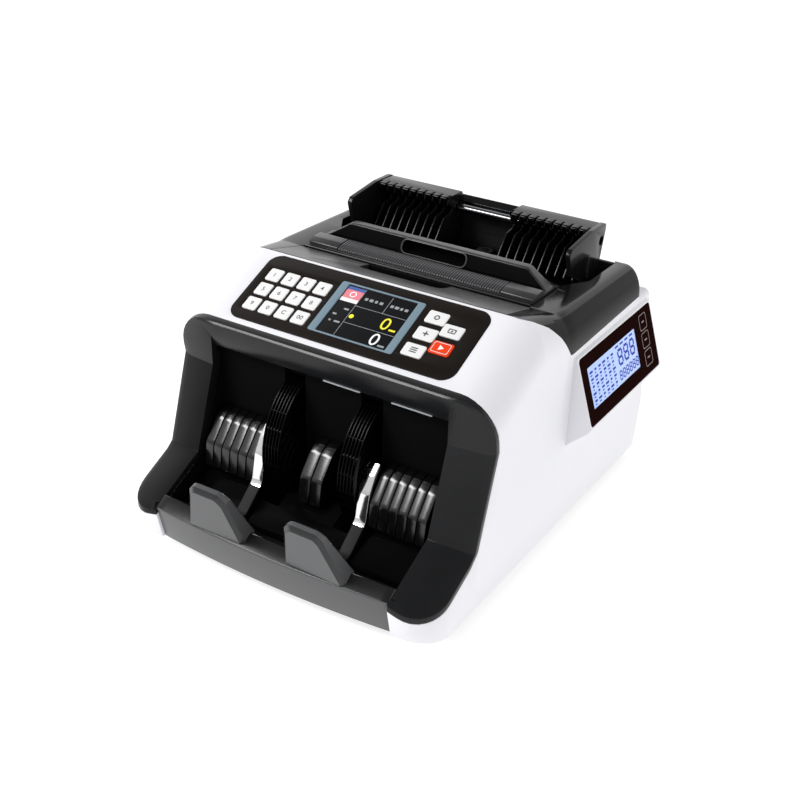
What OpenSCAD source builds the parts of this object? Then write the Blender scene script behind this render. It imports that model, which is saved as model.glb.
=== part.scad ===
// Countertop banknote counter and counterfeit detector.
// Origin: on the table, under the middle of the base. +X is the operator's right, +Y is the rear.

/* [Body] */
// Overall body width
body_w = 250; // [240:1:262]
// Shell wall thickness
wall = 3; // [2:0.5:4]
// Slope of the control panel, degrees
panel_tilt = 24.6; // [22:0.1:27]
// Height of the rubber feet
foot_h = 6; // [5:0.5:6]

/* [Stacker] */
// Inner width of the note pocket
pocket_w = 188; // [184:1:190]
// Fan wheel radius
fan_r = 54; // [48:1:54]
// Fan wheel width
fan_w = 13.5; // [8:0.5:14]
// Vanes on each fan wheel
vanes = 14; // [10:1:18]

/* [Hopper] */
// Inner edge of a note guide from the middle
guide_in = 26; // [24:1:30]
// Outer edge of a note guide from the middle
guide_out = 93.6; // [90:0.1:94]
// Spacing of the guide fins
fin_pitch = 6.1; // [5:0.1:8]
// Handle slot width in the flap
handle_w = 52; // [40:1:60]

/* [Keys] */
// Square number key size
num_key = 11; // [9:0.5:12]
// Column spacing of the number keys
num_px = 13.43; // [13:0.01:14]
// Row spacing of the number keys
num_pu = 14.2; // [13.5:0.1:15]
// Function key width
fun_w = 14.2; // [12:0.1:14.4]
// Function key height
fun_h = 10.4; // [8:0.1:12]

/* [Shafts] */
// Radius of every turning shaft
shaft_r = 4; // [3:0.5:5]
// Running clearance round a shaft
run_gap = 0.05; // [0.02:0.01:0.1]

/* [Hidden] */
$fn = 48;
hw = body_w / 2;
pw = pocket_w / 2;
ct = cos(panel_tilt);
st = sin(panel_tilt);
panel_y = -110.8;
panel_z = 142.5;
front_y = -89.5;
strip_y = -27;
base_z = foot_h;
pan_top = foot_h + 2;
deck_z = 146;
side_r = 28;
panel_r = 25.5;
fan_c = [-60, 72];
fan_x = 24;
motor_c = [75, 60];
feed_c = [45, 138];
pick_c = [78, 149];
rod_c = [120, 185.6];
flap_c = [48, 166.5];
motor_pr = 9;
feed_pr = 12;
fan_pr = 18;
corner_r = 24;
plate_x = 100;
key_x0 = -75.4;
num_u = [70.7, 56.5, 42.3];
fun_pos = [[53.7, 73.6], [53.6, 58.6], [53.1, 43.7], [69.0, 66.2], [69.2, 51.2]];
key_gap = 0.6;
bore_r = shaft_r + run_gap;
lap = 0.06;
ease = 0.4;

// ---------- helpers ----------

// A side outline in (y, z) extruded along x
module ex(x0, x1) {
  translate([x0, 0, 0])
    rotate([90, 0, 90])
      linear_extrude(x1 - x0) children();
}

// A front outline in (x, z) extruded along y
module ey(y0, y1) {
  translate([0, y1, 0])
    rotate([90, 0, 0])
      linear_extrude(y1 - y0) children();
}

module both() {
  children();
  mirror([1, 0, 0]) children();
}

// A box from its two corners
module box(a, b) {
  translate(a) cube(b - a);
}

// A rod along x
module xrod(c, x0, x1, r) {
  translate([x0, c[0], c[1]])
    rotate([0, 90, 0])
      cylinder(r = r, h = x1 - x0);
}

// Local frame of the sloped control panel: x, distance up the slope, height above it
module on_panel() {
  translate([0, panel_y, panel_z])
    rotate([panel_tilt, 0, 0]) children();
}

// Rounded rectangle centred on the origin
module round_rect(w, h, r) {
  square([w - 2 * r, h], center = true);
  square([w, h - 2 * r], center = true);
  for (sx = [-1, 1])
    for (sy = [-1, 1])
      translate([sx * (w / 2 - r), sy * (h / 2 - r)]) circle(r = r);
}

// Area to take off a square corner at the origin to round it
module corner(r) {
  translate([ease - r, ease - r])
    difference() {
      square([r + 10, r + 40]);
      circle(r = r);
    }
}

// Area inside a belt round two pulleys
module loop(c1, r1, c2, r2) {
  d = norm(c2 - c1);
  b = atan2(c2[1] - c1[1], c2[0] - c1[0]);
  f = acos((r1 - r2) / d);
  p = [cos(b + f), sin(b + f)];
  q = [cos(b - f), sin(b - f)];
  translate(c1) circle(r = r1);
  translate(c2) circle(r = r2);
  polygon([c1 + (r1 - lap) * p, c2 + (r2 - lap) * p, c2 + (r2 - lap) * q, c1 + (r1 - lap) * q]);
}

// ---------- outer shell ----------

// Side outline of the body behind the bezel, inset by t
function body_side(t) = [
  [front_y + t, panel_z + (front_y - panel_y) * tan(panel_tilt) - 0.64 * t],
  [-27, 180.9 - 1.1 * t],
  [9.4, 172.5 - t],
  [122 - t, 170 - t],
  [127 - t, deck_z - t],
  [148 - 0.9 * t, deck_z - t],
  [161 - t, 46],
  [156 - t, t > 0 ? 0 : pan_top],
  [-118 + t, t > 0 ? 0 : pan_top],
  [-118 + t, 46 - t],
  [-102.8 + t, 52.7 - t],
  [-83.2 + t, 116]];

module body_solid(t) {
  difference() {
    ex(-hw + t, hw - t) polygon(body_side(t));
    both() {
      ey(-27, 170) translate([hw - t, 179.8 - t]) corner(side_r - t);
      on_panel()
        translate([0, 220, 0])
          rotate([90, 0, 0])
            linear_extrude(440) translate([hw - t, -t]) corner(panel_r - t);
    }
  }
}

module body_shell() {
  difference() {
    body_solid(0);
    body_solid(wall);
  }
}

// Region of the black rear cover
module cover_zone() {
  ex(-hw - 1, hw + 1)
    polygon([[-28, 181.9], [14, 144], [127, 146], [127, 200], [-28, 200]]);
}

module base_pan() color("#3a3c40") {
  difference() {
    union() {
      box([-hw + 2, -131, base_z], [hw - 2, 154, pan_top]);
      for (s = [-1, 1])
        box([s * 118 - 1, -112, pan_top], [s * 118 + 1, 146, pan_top + 8]);
    }
    for (x = [-60 : 12 : 60])
      box([x - 2, 100, 0], [x + 2, 130, 20]);
  }
}

module rubber_feet() color("#1c1c1e") {
  cylinder(r1 = 10, r2 = 11, h = base_z);
  for (x = [-105, 105])
    for (y = [-115, 135])
      translate([x, y, 0]) cylinder(r1 = 10, r2 = 11, h = base_z);
}

module front_corners() {
  both()
    intersection() {
      ex(pw, hw) polygon([[-116, pan_top], [-154, pan_top], [-158.6, 28.9], [-116, 46.8]]);
      linear_extrude(80) corner_plan();
    }
}

module main_housing() color("#f2f2f5") {
  difference() {
    union() {
      body_shell();
      front_corners();
    }
    cover_zone();
    // note pocket mouth
    box([-pw, -140, 0], [pw, -79, 150]);
    // strip opening
    box([-94.6, strip_y, 140], [94.6, 20, 200]);
    // control panel: recess and window
    on_panel() {
      translate([0, 59.4, -2]) linear_extrude(10) round_rect(176.8, 63.4, 10);
      translate([0, 59.4, -10]) linear_extrude(20) round_rect(168, 56, 8);
    }
    // rear connector opening
    ey(150, 170) translate([0, 36]) square([132, 38], center = true);
    // rear vents
    for (z = [80 : 9 : 116])
      for (s = [-1, 1])
        ey(140, 170) translate([s * 55, z]) square([62, 3.5], center = true);
    // side vents
    for (y = [-30 : 9 : 24])
      box([-hw - 1, y, 40], [-hw + wall + 1, y + 3.5, 66]);
    // display cable hole
    xrod([60, 100], hw - wall - 1, hw + 1, 8);
    // adjuster stem hole
    translate([0, 141.2, 140]) cylinder(r = 3 + run_gap, h = 10);
  }
}

// Footprint of the two front corners of the base
module corner_plan() {
  translate([pw, -159.4]) square([hw - pw - corner_r, 60]);
  translate([pw, -159.4 + corner_r]) square([hw - pw, 60]);
  translate([hw - corner_r, -159.4 + corner_r]) circle(r = corner_r);
}

module front_bezel() color("#232427") {
  difference() {
    union() {
      ex(-hw, hw)
        polygon([[front_y, 152.2], [-96.2, 149.4], [-94.6, 117.1], [-114, 57.2], [-102.8, 52.7],
          [-83.2, 116]]);
      both()
        intersection() {
          ex(pw, hw) polygon([[-102.8, 52.7], [-110, 56], [-114, 57.2], [-160, 34.2],
            [-160, 28.5], [-118, 46.1]]);
          linear_extrude(80) corner_plan();
        }
    }
    box([-pw, -170, 0], [pw, -70, 150]);
    both()
      on_panel()
        translate([0, 60, 0])
          rotate([90, 0, 0])
            linear_extrude(120) translate([hw, 0]) corner(panel_r);
  }
  ex(-pw, pw)
    polygon([[front_y, 150], [front_y, 152.2], [-96.2, 149.4], [-94.8, 139.8], [-92, 132],
      [-84, 132], [-84, 149.9]]);
}

module lip_solid() {
  intersection() {
    ex(-pw + 0.2, pw - 0.2) polygon([[-150.1, 40.4], [-166, 33.9], [-160, pan_top],
      [-134, pan_top], [-134, pan_top + 3], [-147, pan_top + 3], [-147, 36]]);
    translate([0, -164, 34.5])
      rotate([10.7, 0, 0])
        translate([0, 886, -60]) cylinder(r = 886, h = 120, $fn = 720);
  }
}

module front_lip() color("#77797d") lip_solid();

module stop_paddles() color("#8b8d91") {
  difference() {
    both()
      translate([0, -157, 33])
        rotate([17, 0, 0])
          rotate([90, 0, 0])
              linear_extrude(8)
                polygon([[18, 0], [61, 0], [51, 37], [46, 43], [29, 43], [24.5, 39]]);
    lip_solid();
    box([-pw, -147, 0], [pw, -120, 60]);
  }
}

module stacker_floor() color("#1d1e20") {
  difference() {
    ex(-pw + 0.2, pw - 0.2)
      polygon([[-100, 47.8], [-107, 44], [-133, 30], [-147, 30], [-147, 27], [-132, 27],
        [-100, 44.5]]);
    for (s = [-1, 1])
      box([s * 31 - 8.5, -116, 20], [s * 31 + 8.5, -90, 60]);
  }
}

module stacker_combs() color("#0e0e10") {
  rib = [[-112, 47.4], [-107, 60], [-99.5, 76], [-97, 81], [-94.5, 83.6], [-91, 84.6], [-84, 84.6],
    [-84, 47.4], [-100, 47.8]];
  backing = [[-96, 47.8], [-89, 82], [-84, 82], [-84, 47.8]];
  both() {
    for (i = [0 : 5])
      ex(47.6 + i * 7.25, 54 + i * 7.25) polygon(rib);
    ex(47.6, 90.2) polygon(backing);
    ex(39.5, 46)
      polygon([[-99.5, 84], [-110, 46.4], [-135, 32.6], [-135, 30], [-133, 30], [-107, 44],
        [-100, 48.2], [-92, 84]]);
  }
  for (x = [-9, -1.25, 6.5])
    ex(x, x + 2.5) polygon(rib);
  ex(-15, 15) polygon(backing);
}

module stacker_back() color("#141416") {
  difference() {
    union() {
      ex(-pw, pw) polygon([[-84, 47], [-84, 132], [-80, 132], [-80, 47]]);
      both() ex(pw, pw + 2)
        polygon([[-79.5, 132], [-70, 132], [-70, pan_top], [-114, pan_top], [-114, 42],
          [-98.6, 49], [-79.5, 116]]);
    }
    for (s = [-1, 1])
      box([s * 31 - 8.5, -90, 10], [s * 31 + 8.5, -78, 128]);
  }
}

// ---------- control panel ----------

// Every key window
module key_windows() {
  for (c = [0 : 3])
    for (r = [0 : 2])
      translate([key_x0 + c * num_px, num_u[r]])
        square(num_key + key_gap, center = true);
  for (p = fun_pos)
    translate(p) square([fun_w + key_gap, fun_h + key_gap], center = true);
}

module control_overlay() color("#2a211c") {
  on_panel()
    translate([0, 0, -2])
      linear_extrude(2.4)
        difference() {
          translate([0, 59.4]) round_rect(176.6, 63.2, 10);
          key_windows();
          translate([8, 58.85]) square([66.4, 47.4], center = true);
        }
}

module screen_frame() color("#7d96a5") {
  on_panel()
    translate([8, 58.85, -3.5])
      linear_extrude(4.3)
        difference() {
          square([66, 47], center = true);
          square([54.8, 44.6], center = true);
        }
}

module screen_glass() color("#1a1c1f") {
  on_panel()
    translate([8, 58.85, -3.5])
      linear_extrude(3.6) square([54.6, 44.4], center = true);
}

module keypad_board() color("#1f5a34") {
  on_panel() {
    translate([0, 59, -8]) linear_extrude(1.6) round_rect(164, 56, 4);
    translate([8, 58.85, -6.4]) linear_extrude(2.9) square([64, 46], center = true);
    translate([-79, 86, -6.4]) cylinder(r = 2, h = 4.4);
    translate([79, 86, -6.4]) cylinder(r = 2, h = 4.4);
    translate([-79, 34, -6.4]) cylinder(r = 2, h = 4.4);
    translate([79, 34, -6.4]) cylinder(r = 2, h = 4.4);
  }
}

// A key cap with a retaining flange under the overlay
module key_cap(w, h) {
  translate([0, 0, -3.9]) linear_extrude(1.4) square([w + 0.4, h + 1.6], center = true);
  translate([0, 0, -2.6]) linear_extrude(4.4) round_rect(w, h, 1.5);
}

module num_key_at(c, r) {
  on_panel()
    translate([key_x0 + c * num_px, num_u[r], 0]) key_cap(num_key, num_key);
}

module fun_key_at(i) {
  on_panel()
    translate([fun_pos[i][0], fun_pos[i][1], 0]) key_cap(fun_w, fun_h);
}

module key_1() color("#f4f4f4") num_key_at(0, 0);
module key_2() color("#f4f4f4") num_key_at(1, 0);
module key_3() color("#f4f4f4") num_key_at(2, 0);
module key_4() color("#f4f4f4") num_key_at(3, 0);
module key_5() color("#f4f4f4") num_key_at(0, 1);
module key_6() color("#f4f4f4") num_key_at(1, 1);
module key_7() color("#f4f4f4") num_key_at(2, 1);
module key_8() color("#f4f4f4") num_key_at(3, 1);
module key_9() color("#f4f4f4") num_key_at(0, 2);
module key_0() color("#f4f4f4") num_key_at(1, 2);
module key_c() color("#f4f4f4") num_key_at(2, 2);
module key_00() color("#f4f4f4") num_key_at(3, 2);
module key_cf() color("#f4f4f4") fun_key_at(0);
module key_add() color("#f4f4f4") fun_key_at(1);
module key_mode() color("#f4f4f4") fun_key_at(2);
module key_cur() color("#f4f4f4") fun_key_at(3);
module key_start() color("#e8401c") fun_key_at(4);

// ---------- side display ----------

pod_n = [0.953, 0.303];
pod_a = [hw + 3, 138];
pod_b = [hw + 17.9, 91];
// inner top and bottom edges of the display face, and the direction between them
pod_p = pod_a + [0.3, -1.2] - 1.2 * pod_n;
pod_q = pod_b + [-0.3, 1.2] - 1.2 * pod_n;
pod_d = (pod_q - pod_p) / norm(pod_q - pod_p);

module pod_housing() color("#f2f2f5") {
  difference() {
    ey(20.8, 141.2)
      polygon([[hw, 139.5], pod_a, pod_b, pod_b - [1.5, 3], [hw, 72]]);
    ey(25, 137)
      polygon([[hw - 1, 132], pod_a + [-1, -5], pod_b + [-4, 3], [hw - 1, 80]]);
    ey(22.4, 139.6)
      polygon([pod_p - 0.2 * pod_d, pod_q + 0.2 * pod_d, pod_q + 0.2 * pod_d + 5 * pod_n,
        pod_p - 0.2 * pod_d + 5 * pod_n]);
  }
}

module pod_bezel() color("#24100e") {
  difference() {
    ey(22.6, 139.4) polygon([pod_p, pod_q, pod_q + 1.2 * pod_n, pod_p + 1.2 * pod_n]);
    ey(32, 102) polygon([pod_p + 9 * pod_d - pod_n, pod_p + 39 * pod_d - pod_n,
      pod_p + 39 * pod_d + 3 * pod_n, pod_p + 9 * pod_d + 3 * pod_n]);
  }
}

module pod_lcd() color("#bcd0f5") {
  ey(32.1, 101.9) polygon([pod_p + 9.1 * pod_d, pod_p + 38.9 * pod_d,
    pod_p + 38.9 * pod_d + 0.8 * pod_n, pod_p + 9.1 * pod_d + 0.8 * pod_n]);
}

// ---------- top cover and hopper ----------

module top_cover() color("#1b1c1e") {
  difference() {
    union() {
      difference() {
        intersection() {
          body_shell();
          cover_zone();
        }
        // strip opening, flap opening, hopper opening
        box([-94.6, -40, 140], [94.6, 9.5, 200]);
        box([-93.2, 9.4, 155], [93.2, 51, 200]);
        box([-105, 51, 140], [105, 140, 200]);
      }
      // ties between the shoulders and flap hinge lugs
      box([-100, 12, 158], [100, 20, 163]);
      both() {
        box([94.6, 12, 158], [100, 20, 171]);
        box([93.7, 43, 160.5], [101, 53, 169.5]);
      }
    }
    xrod(flap_c, -102, -93, 2.5 + run_gap);
    xrod(flap_c, 93, 102, 2.5 + run_gap);
  }
}

module strip_cap() color("#17181a") {
  difference() {
    ex(-94.4, 94.4)
      polygon([[-27, 180.9], [9.2, 172.5], [9.2, 162], [-4, 162], [-4, 172.5], [-27, 177.6]]);
    box([-30, 0, 165], [30, 20, 190]);
  }
}

module hopper_flap() color("#151618") {
  difference() {
    union() {
      intersection() {
        ex(-92.7, 92.7)
          polygon([[9.7, 172.4], [38, 174], [42.8, 185.2], [51.8, 185.2], [56, 172], [56, 168],
            [9.7, 169.4]]);
        ey(0, 60)
          polygon([[-92.7, 160], [-92.7, 174], [-76, 185.2], [76, 185.2], [92.7, 174],
            [92.7, 160]]);
      }
      xrod(flap_c, -98.5, -88, 2.5);
      xrod(flap_c, 88, 98.5, 2.5);
      both() box([85, 44, 163.5], [92.7, 52, 170]);
      for (i = [0 : 32])
        box([-66 + i * 4.1, 10.2, 171.5], [-64.4 + i * 4.1, 25.5, 174.2]);
    }
    box([-handle_w / 2, 36, 174.4], [handle_w / 2, 58, 183]);
  }
}

// A note guide on the right side: back plate, cap, fins and side wing
module guide_body() {
  fins = floor((78 - guide_in) / fin_pitch);
  difference() {
    union() {
      ex(guide_in, guide_out) polygon([[122, 160], [122, 180], [124.4, 182], [124.4, 190],
        [103, 194.5], [102.6, 197], [104, 198], [124.5, 198], [128.5, 192], [128.5, 160]]);
      for (i = [0 : fins])
        ex(guide_in + i * fin_pitch, guide_in + i * fin_pitch + 1.6)
          polygon([[97, 160], [94, 166], [93, 177], [112, 178.5], [114, 182], [112.5, 188],
            [105, 195], [126, 195], [126, 160]]);
      ex(79.5, guide_out) polygon([[97, 160], [72, 173], [67, 190], [70, 193.5], [103, 198],
        [126, 198], [126, 160]]);
    }
    xrod(rod_c, 0, 120, 3 + run_gap);
  }
}

module guide_right() color("#17181a") {
  guide_body();
  box([guide_in, 124.7, 153.5], [60, 128, 160]);
  box([-28, 124.7, 153.5], [guide_in, 128, 157]);
}

module guide_left() color("#17181a") {
  mirror([1, 0, 0]) guide_body();
  box([-60, 108, 153.5], [-guide_in, 111.3, 160]);
  box([-guide_in, 108, 153.5], [28, 111.3, 157]);
}

module centering_pinion() color("#e8e4d8") {
  difference() {
    translate([0, 118, 153.5]) cylinder(r = 6.4, h = 3.5);
    translate([0, 118, 150]) cylinder(r = 3 + run_gap, h = 12);
  }
}

module hopper_back() color("#26272a") {
  difference() {
    union() {
      box([-104.5, 130, deck_z], [104.5, 134, 188]);
      ex(-94, 94) polygon([[130, 184], [129.5, 195.5], [131, 197], [134.5, 197], [136, 195],
        [136, 184]]);
      box([-8, 115, 180], [8, 131, 191]);
    }
    xrod(rod_c, -20, 20, 3);
  }
}

module hopper_floor() color("#1a1b1d") {
  difference() {
    union() {
      ex(-104, 104) polygon([[62.5, 166.7], [96, 152], [130, 149.5], [130, 147], [95, 149.2],
        [62.5, 163.5]]);
      both() ex(99.2, 104)
        polygon([[62.5, 164], [96, 151], [112, 150], [112, 143], [62.5, 143]]);
      translate([0, 118, 148.5]) cylinder(r = 3, h = 9.5);
      translate([0, 118, 148.5]) cylinder(r = 4.5, h = 4.8);
    }
    for (s = [-1, 1])
      box([s * 24 - 7.5, 64.4, 140], [s * 24 + 7.5, 92.5, 175]);
    xrod(pick_c, -120, 120, bore_r);
  }
}

module gap_knob() color("#2a2b2e") {
  translate([0, 141.2, 136]) cylinder(r = 3, h = 12);
  difference() {
    translate([0, 141.2, deck_z + 0.5]) cylinder(r = 6.4, h = 11.5);
    for (i = [0 : 11])
      translate([0, 141.2, deck_z + 2])
        rotate(i * 30) translate([6.9, 0, 0]) cylinder(r = 1, h = 12);
  }
}

// ---------- rear ----------

module rear_panel() color("#9a9ca0") {
  difference() {
    box([-72, 149, pan_top], [72, 151, 60]);
    box([-58.3, 148, 21.8], [-29.7, 152, 42.2]);
    box([-18.3, 148, 24.3], [-3.7, 152, 44.7]);
    box([15, 148, 24], [33, 152, 34]);
    box([42, 148, 24], [56, 152, 38]);
  }
}

module power_inlet() color("#121214") {
  difference() {
    union() {
      box([-58, 130, 22], [-30, 151, 42]);
      box([-60, 151, 20], [-28, 153, 44]);
    }
    box([-56, 137, 24], [-32, 154, 40]);
  }
  for (x = [-51, -44, -37])
    box([x - 1, 137, x == -44 ? 34 : 29], [x + 1, 149, x == -44 ? 38 : 33]);
}

module rocker_switch() color("#1a1a1c") {
  difference() {
    union() {
      ex(-17, -5) polygon([[146, 27], [153.8, 26.4], [152.6, 34.5], [153.8, 42.6], [146, 42]]);
    }
    xrod([146, 34.5], -18, -4, 2 + run_gap);
  }
}

module housing_screws() color("#9fa1a5") {
  for (x = [-112, 112])
    for (y = [-60, 0, 60, 120])
      translate([x, y, base_z - 1.5]) cylinder(r = 3, h = 1.5);
  for (x = [-30, 0, 30])
    translate([x, 140, base_z - 1.5]) cylinder(r = 3, h = 1.5);
}

// ---------- drive train ----------

module side_plates() color("#b4b6ba") {
  both()
    difference() {
      union() {
        box([plate_x, -68, pan_top], [plate_x + 3, 112, 143]);
        box([plate_x, -68, pan_top], [plate_x + 14, 112, pan_top + 2]);
      }
      xrod(fan_c, 90, 110, bore_r);
      xrod(feed_c, 90, 110, bore_r);
      xrod(motor_c, 90, 110, 8);
      for (y = [0, 84])
        xrod([y, 100], 90, 110, 14);
      box([90, 70, 143 - 1], [110, 86, 150]);
    }
}

module cross_rods() color("#c9cbce") {
  for (c = [[-64, 137], [106, 24], [-5, 24]])
    xrod(c, -plate_x, plate_x, 4);
  xrod(rod_c, -90, 90, 3);
}

module main_motor() color("#50545a") {
  difference() {
    union() {
      xrod(motor_c, 44, plate_x, 26);
      xrod(motor_c, 38, 44, 16);
    }
    xrod(motor_c, 60, 101, 3.5);
  }
}

module motor_pulley() color("#d8d4c8") {
  xrod(motor_c, 62, 104, 3);
  difference() {
    xrod(motor_c, 104, 117.5, motor_pr + 1);
    difference() {
      xrod(motor_c, 104.7, 109.8, motor_pr + 2);
      xrod(motor_c, 104, 112, motor_pr);
    }
    difference() {
      xrod(motor_c, 111.2, 116.3, motor_pr + 2);
      xrod(motor_c, 111, 117, motor_pr);
    }
  }
}

module belt(c1, r1, c2, r2, x0, x1) {
  ex(x0, x1)
    difference() {
      loop(c1, r1 + 1.9, c2, r2 + 1.9);
      loop(c1, r1 + 0.4, c2, r2 + 0.4);
    }
}

module drive_belts() color("#2b2b2b") {
  belt(motor_c, motor_pr, feed_c, feed_pr, 105.2, 109.3);
  belt(motor_c, motor_pr, fan_c, fan_pr, 111.7, 115.8);
  belt(feed_c, 10, pick_c, 8, -109.5, -105.5);
}

module feed_shaft() color("#c9cbce") {
  xrod(feed_c, -111, 110.5, shaft_r);
  xrod(feed_c, 104.5, 110, feed_pr);
  xrod(feed_c, -110.5, -104.5, 10);
}

module feed_rollers() color("#3b3d42") {
  for (s = [-1, 1])
    difference() {
      xrod(feed_c, s * 26 - 8, s * 26 + 8, 18);
      xrod(feed_c, s * 26 - 9, s * 26 + 9, shaft_r);
    }
}

module pickup_roller() color("#4a3f3a") {
  xrod(pick_c, -111, 106, shaft_r);
  xrod(pick_c, -110.5, -104.5, 8);
  for (s = [-1, 1])
    xrod(pick_c, s * 24 - 6, s * 24 + 6, 12.6);
}

module stacker_shaft() color("#c9cbce") {
  xrod(fan_c, -106, 117.5, shaft_r);
  xrod(fan_c, 111, 116.8, fan_pr);
}

module fan_wheels() color("#101012") {
  for (s = [-1, 1])
    translate([s * (fan_x + fan_w / 2) - fan_w / 2, fan_c[0], fan_c[1]])
      rotate([90, 0, 90])
        difference() {
          union() {
            cylinder(r = 17, h = fan_w);
            for (i = [0 : vanes - 1])
              rotate(i * 360 / vanes)
                translate([12, 8, 0])
                  rotate(8) cube([fan_r - 14.5, 1.4, fan_w]);
          }
          translate([0, 0, -1]) cylinder(r = shaft_r, h = fan_w + 2);
        }
}

// ---------- electronics ----------

module main_board() color("#1f5a34") {
  box([-96, 126, 64], [60, 127.6, 124]);
  for (x = [-90, 54])
    box([x - 3, 127.6, 64], [x + 3, 146, 70]);
  box([-70, 118, 80], [-46, 126, 104]);
  box([-30, 122, 84], [-6, 126, 108]);
  for (x = [10 : 12 : 46])
    translate([x, 120, 108])
      rotate([-90, 0, 0]) cylinder(r = 4, h = 6);
  box([-96, 127.6, 64], [60, 129, 66]);
}

module power_supply() color("#c7a94e") {
  box([-92, 26, pan_top], [-12, 92, pan_top + 3]);
  box([-86, 34, pan_top + 3], [-50, 84, pan_top + 34]);
  box([-44, 36, pan_top + 3], [-20, 54, pan_top + 26]);
  for (y = [66, 80])
    translate([-32, y, pan_top + 3]) cylinder(r = 6, h = 24);
}

module sensor_bar() color("#20603a") {
  box([-99.9, -26, 128], [99.9, -8, 130]);
  for (x = [-70 : 28 : 70])
    box([x - 8, -24, 122], [x + 8, -10, 128]);
  box([-12, -22, 130], [12, -12, 136]);
}

module note_chute() color("#2c2d30") {
  ex(-99.9, 99.9) polygon([[24, 143], [4, 139], [-2, 136], [-28, 140], [-28, 142], [-2, 138.4],
    [4, 141.2], [24, 145.2]]);
}

base_pan();
rubber_feet();
main_housing();
front_bezel();
front_lip();
stop_paddles();
stacker_floor();
stacker_combs();
stacker_back();
control_overlay();
screen_frame();
screen_glass();
keypad_board();
pod_housing();
pod_bezel();
pod_lcd();
top_cover();
strip_cap();
hopper_back();
hopper_floor();
rear_panel();
power_inlet();
housing_screws();
side_plates();
cross_rods();
main_motor();
drive_belts();
main_board();
power_supply();
sensor_bar();
note_chute();
hopper_flap();
guide_left();
guide_right();
centering_pinion();
fan_wheels();
stacker_shaft();
feed_shaft();
feed_rollers();
pickup_roller();
motor_pulley();
gap_knob();
rocker_switch();
key_1();
key_2();
key_3();
key_4();
key_5();
key_6();
key_7();
key_8();
key_9();
key_0();
key_c();
key_00();
key_cf();
key_add();
key_mode();
key_cur();
key_start();
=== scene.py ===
from math import atan2, cos, pi, radians, sin, tan

import bmesh
import bpy
from mathutils import Matrix, Vector


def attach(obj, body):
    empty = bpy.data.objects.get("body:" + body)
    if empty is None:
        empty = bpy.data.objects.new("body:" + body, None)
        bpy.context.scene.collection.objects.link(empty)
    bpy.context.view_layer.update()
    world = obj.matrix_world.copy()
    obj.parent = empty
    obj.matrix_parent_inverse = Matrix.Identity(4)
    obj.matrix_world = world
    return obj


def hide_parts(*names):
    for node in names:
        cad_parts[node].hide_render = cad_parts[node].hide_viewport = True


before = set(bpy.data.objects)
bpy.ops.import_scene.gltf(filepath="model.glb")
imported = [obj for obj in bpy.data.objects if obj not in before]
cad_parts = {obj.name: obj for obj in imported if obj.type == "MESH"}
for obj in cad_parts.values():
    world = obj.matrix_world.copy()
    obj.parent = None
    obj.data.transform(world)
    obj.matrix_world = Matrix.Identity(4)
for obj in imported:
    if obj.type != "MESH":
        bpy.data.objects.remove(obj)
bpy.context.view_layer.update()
MM = 0.001

# ------------ dimensions, millimetres
HALF = 125.0                      # half the body's width
POCKET = 94.0                     # half the width of the note pocket
TILT = radians(24.6)         # slope of the control panel
PANEL_Y, PANEL_Z = -110.8, 142.5  # foot of the panel plane
PANEL_MID = 58.7                  # middle of the key film, up the slope from the foot
FRONT_Y = -89.5                   # where the white panel ends and the black frame starts
STRIP_Y = -27.0                   # where the white panel ends and the black strip starts
COVER_END = 127.0                 # rear end of the black cover
DECK_Z = 146.0                    # white deck behind the cover
BASE_Z = 8.0
FAN_C = (-60.0, 72.0)
ROD_C = (120.0, 185.6)


# ------------ materials
def preset(made, values):
    """Sets input values of a node by name or by number."""
    for key, value in values.items():
        made.inputs[key].default_value = value


def node(tree, kind, values=None, source=None, socket=None):
    """A new shader node with its input values set and one input linked."""
    made = tree.nodes.new("ShaderNode" + kind)
    if kind == "Mix":
        made.data_type = "RGBA"
    preset(made, values or {})
    if source is not None:
        tree.links.new(source, made.inputs[socket])
    return made


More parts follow.
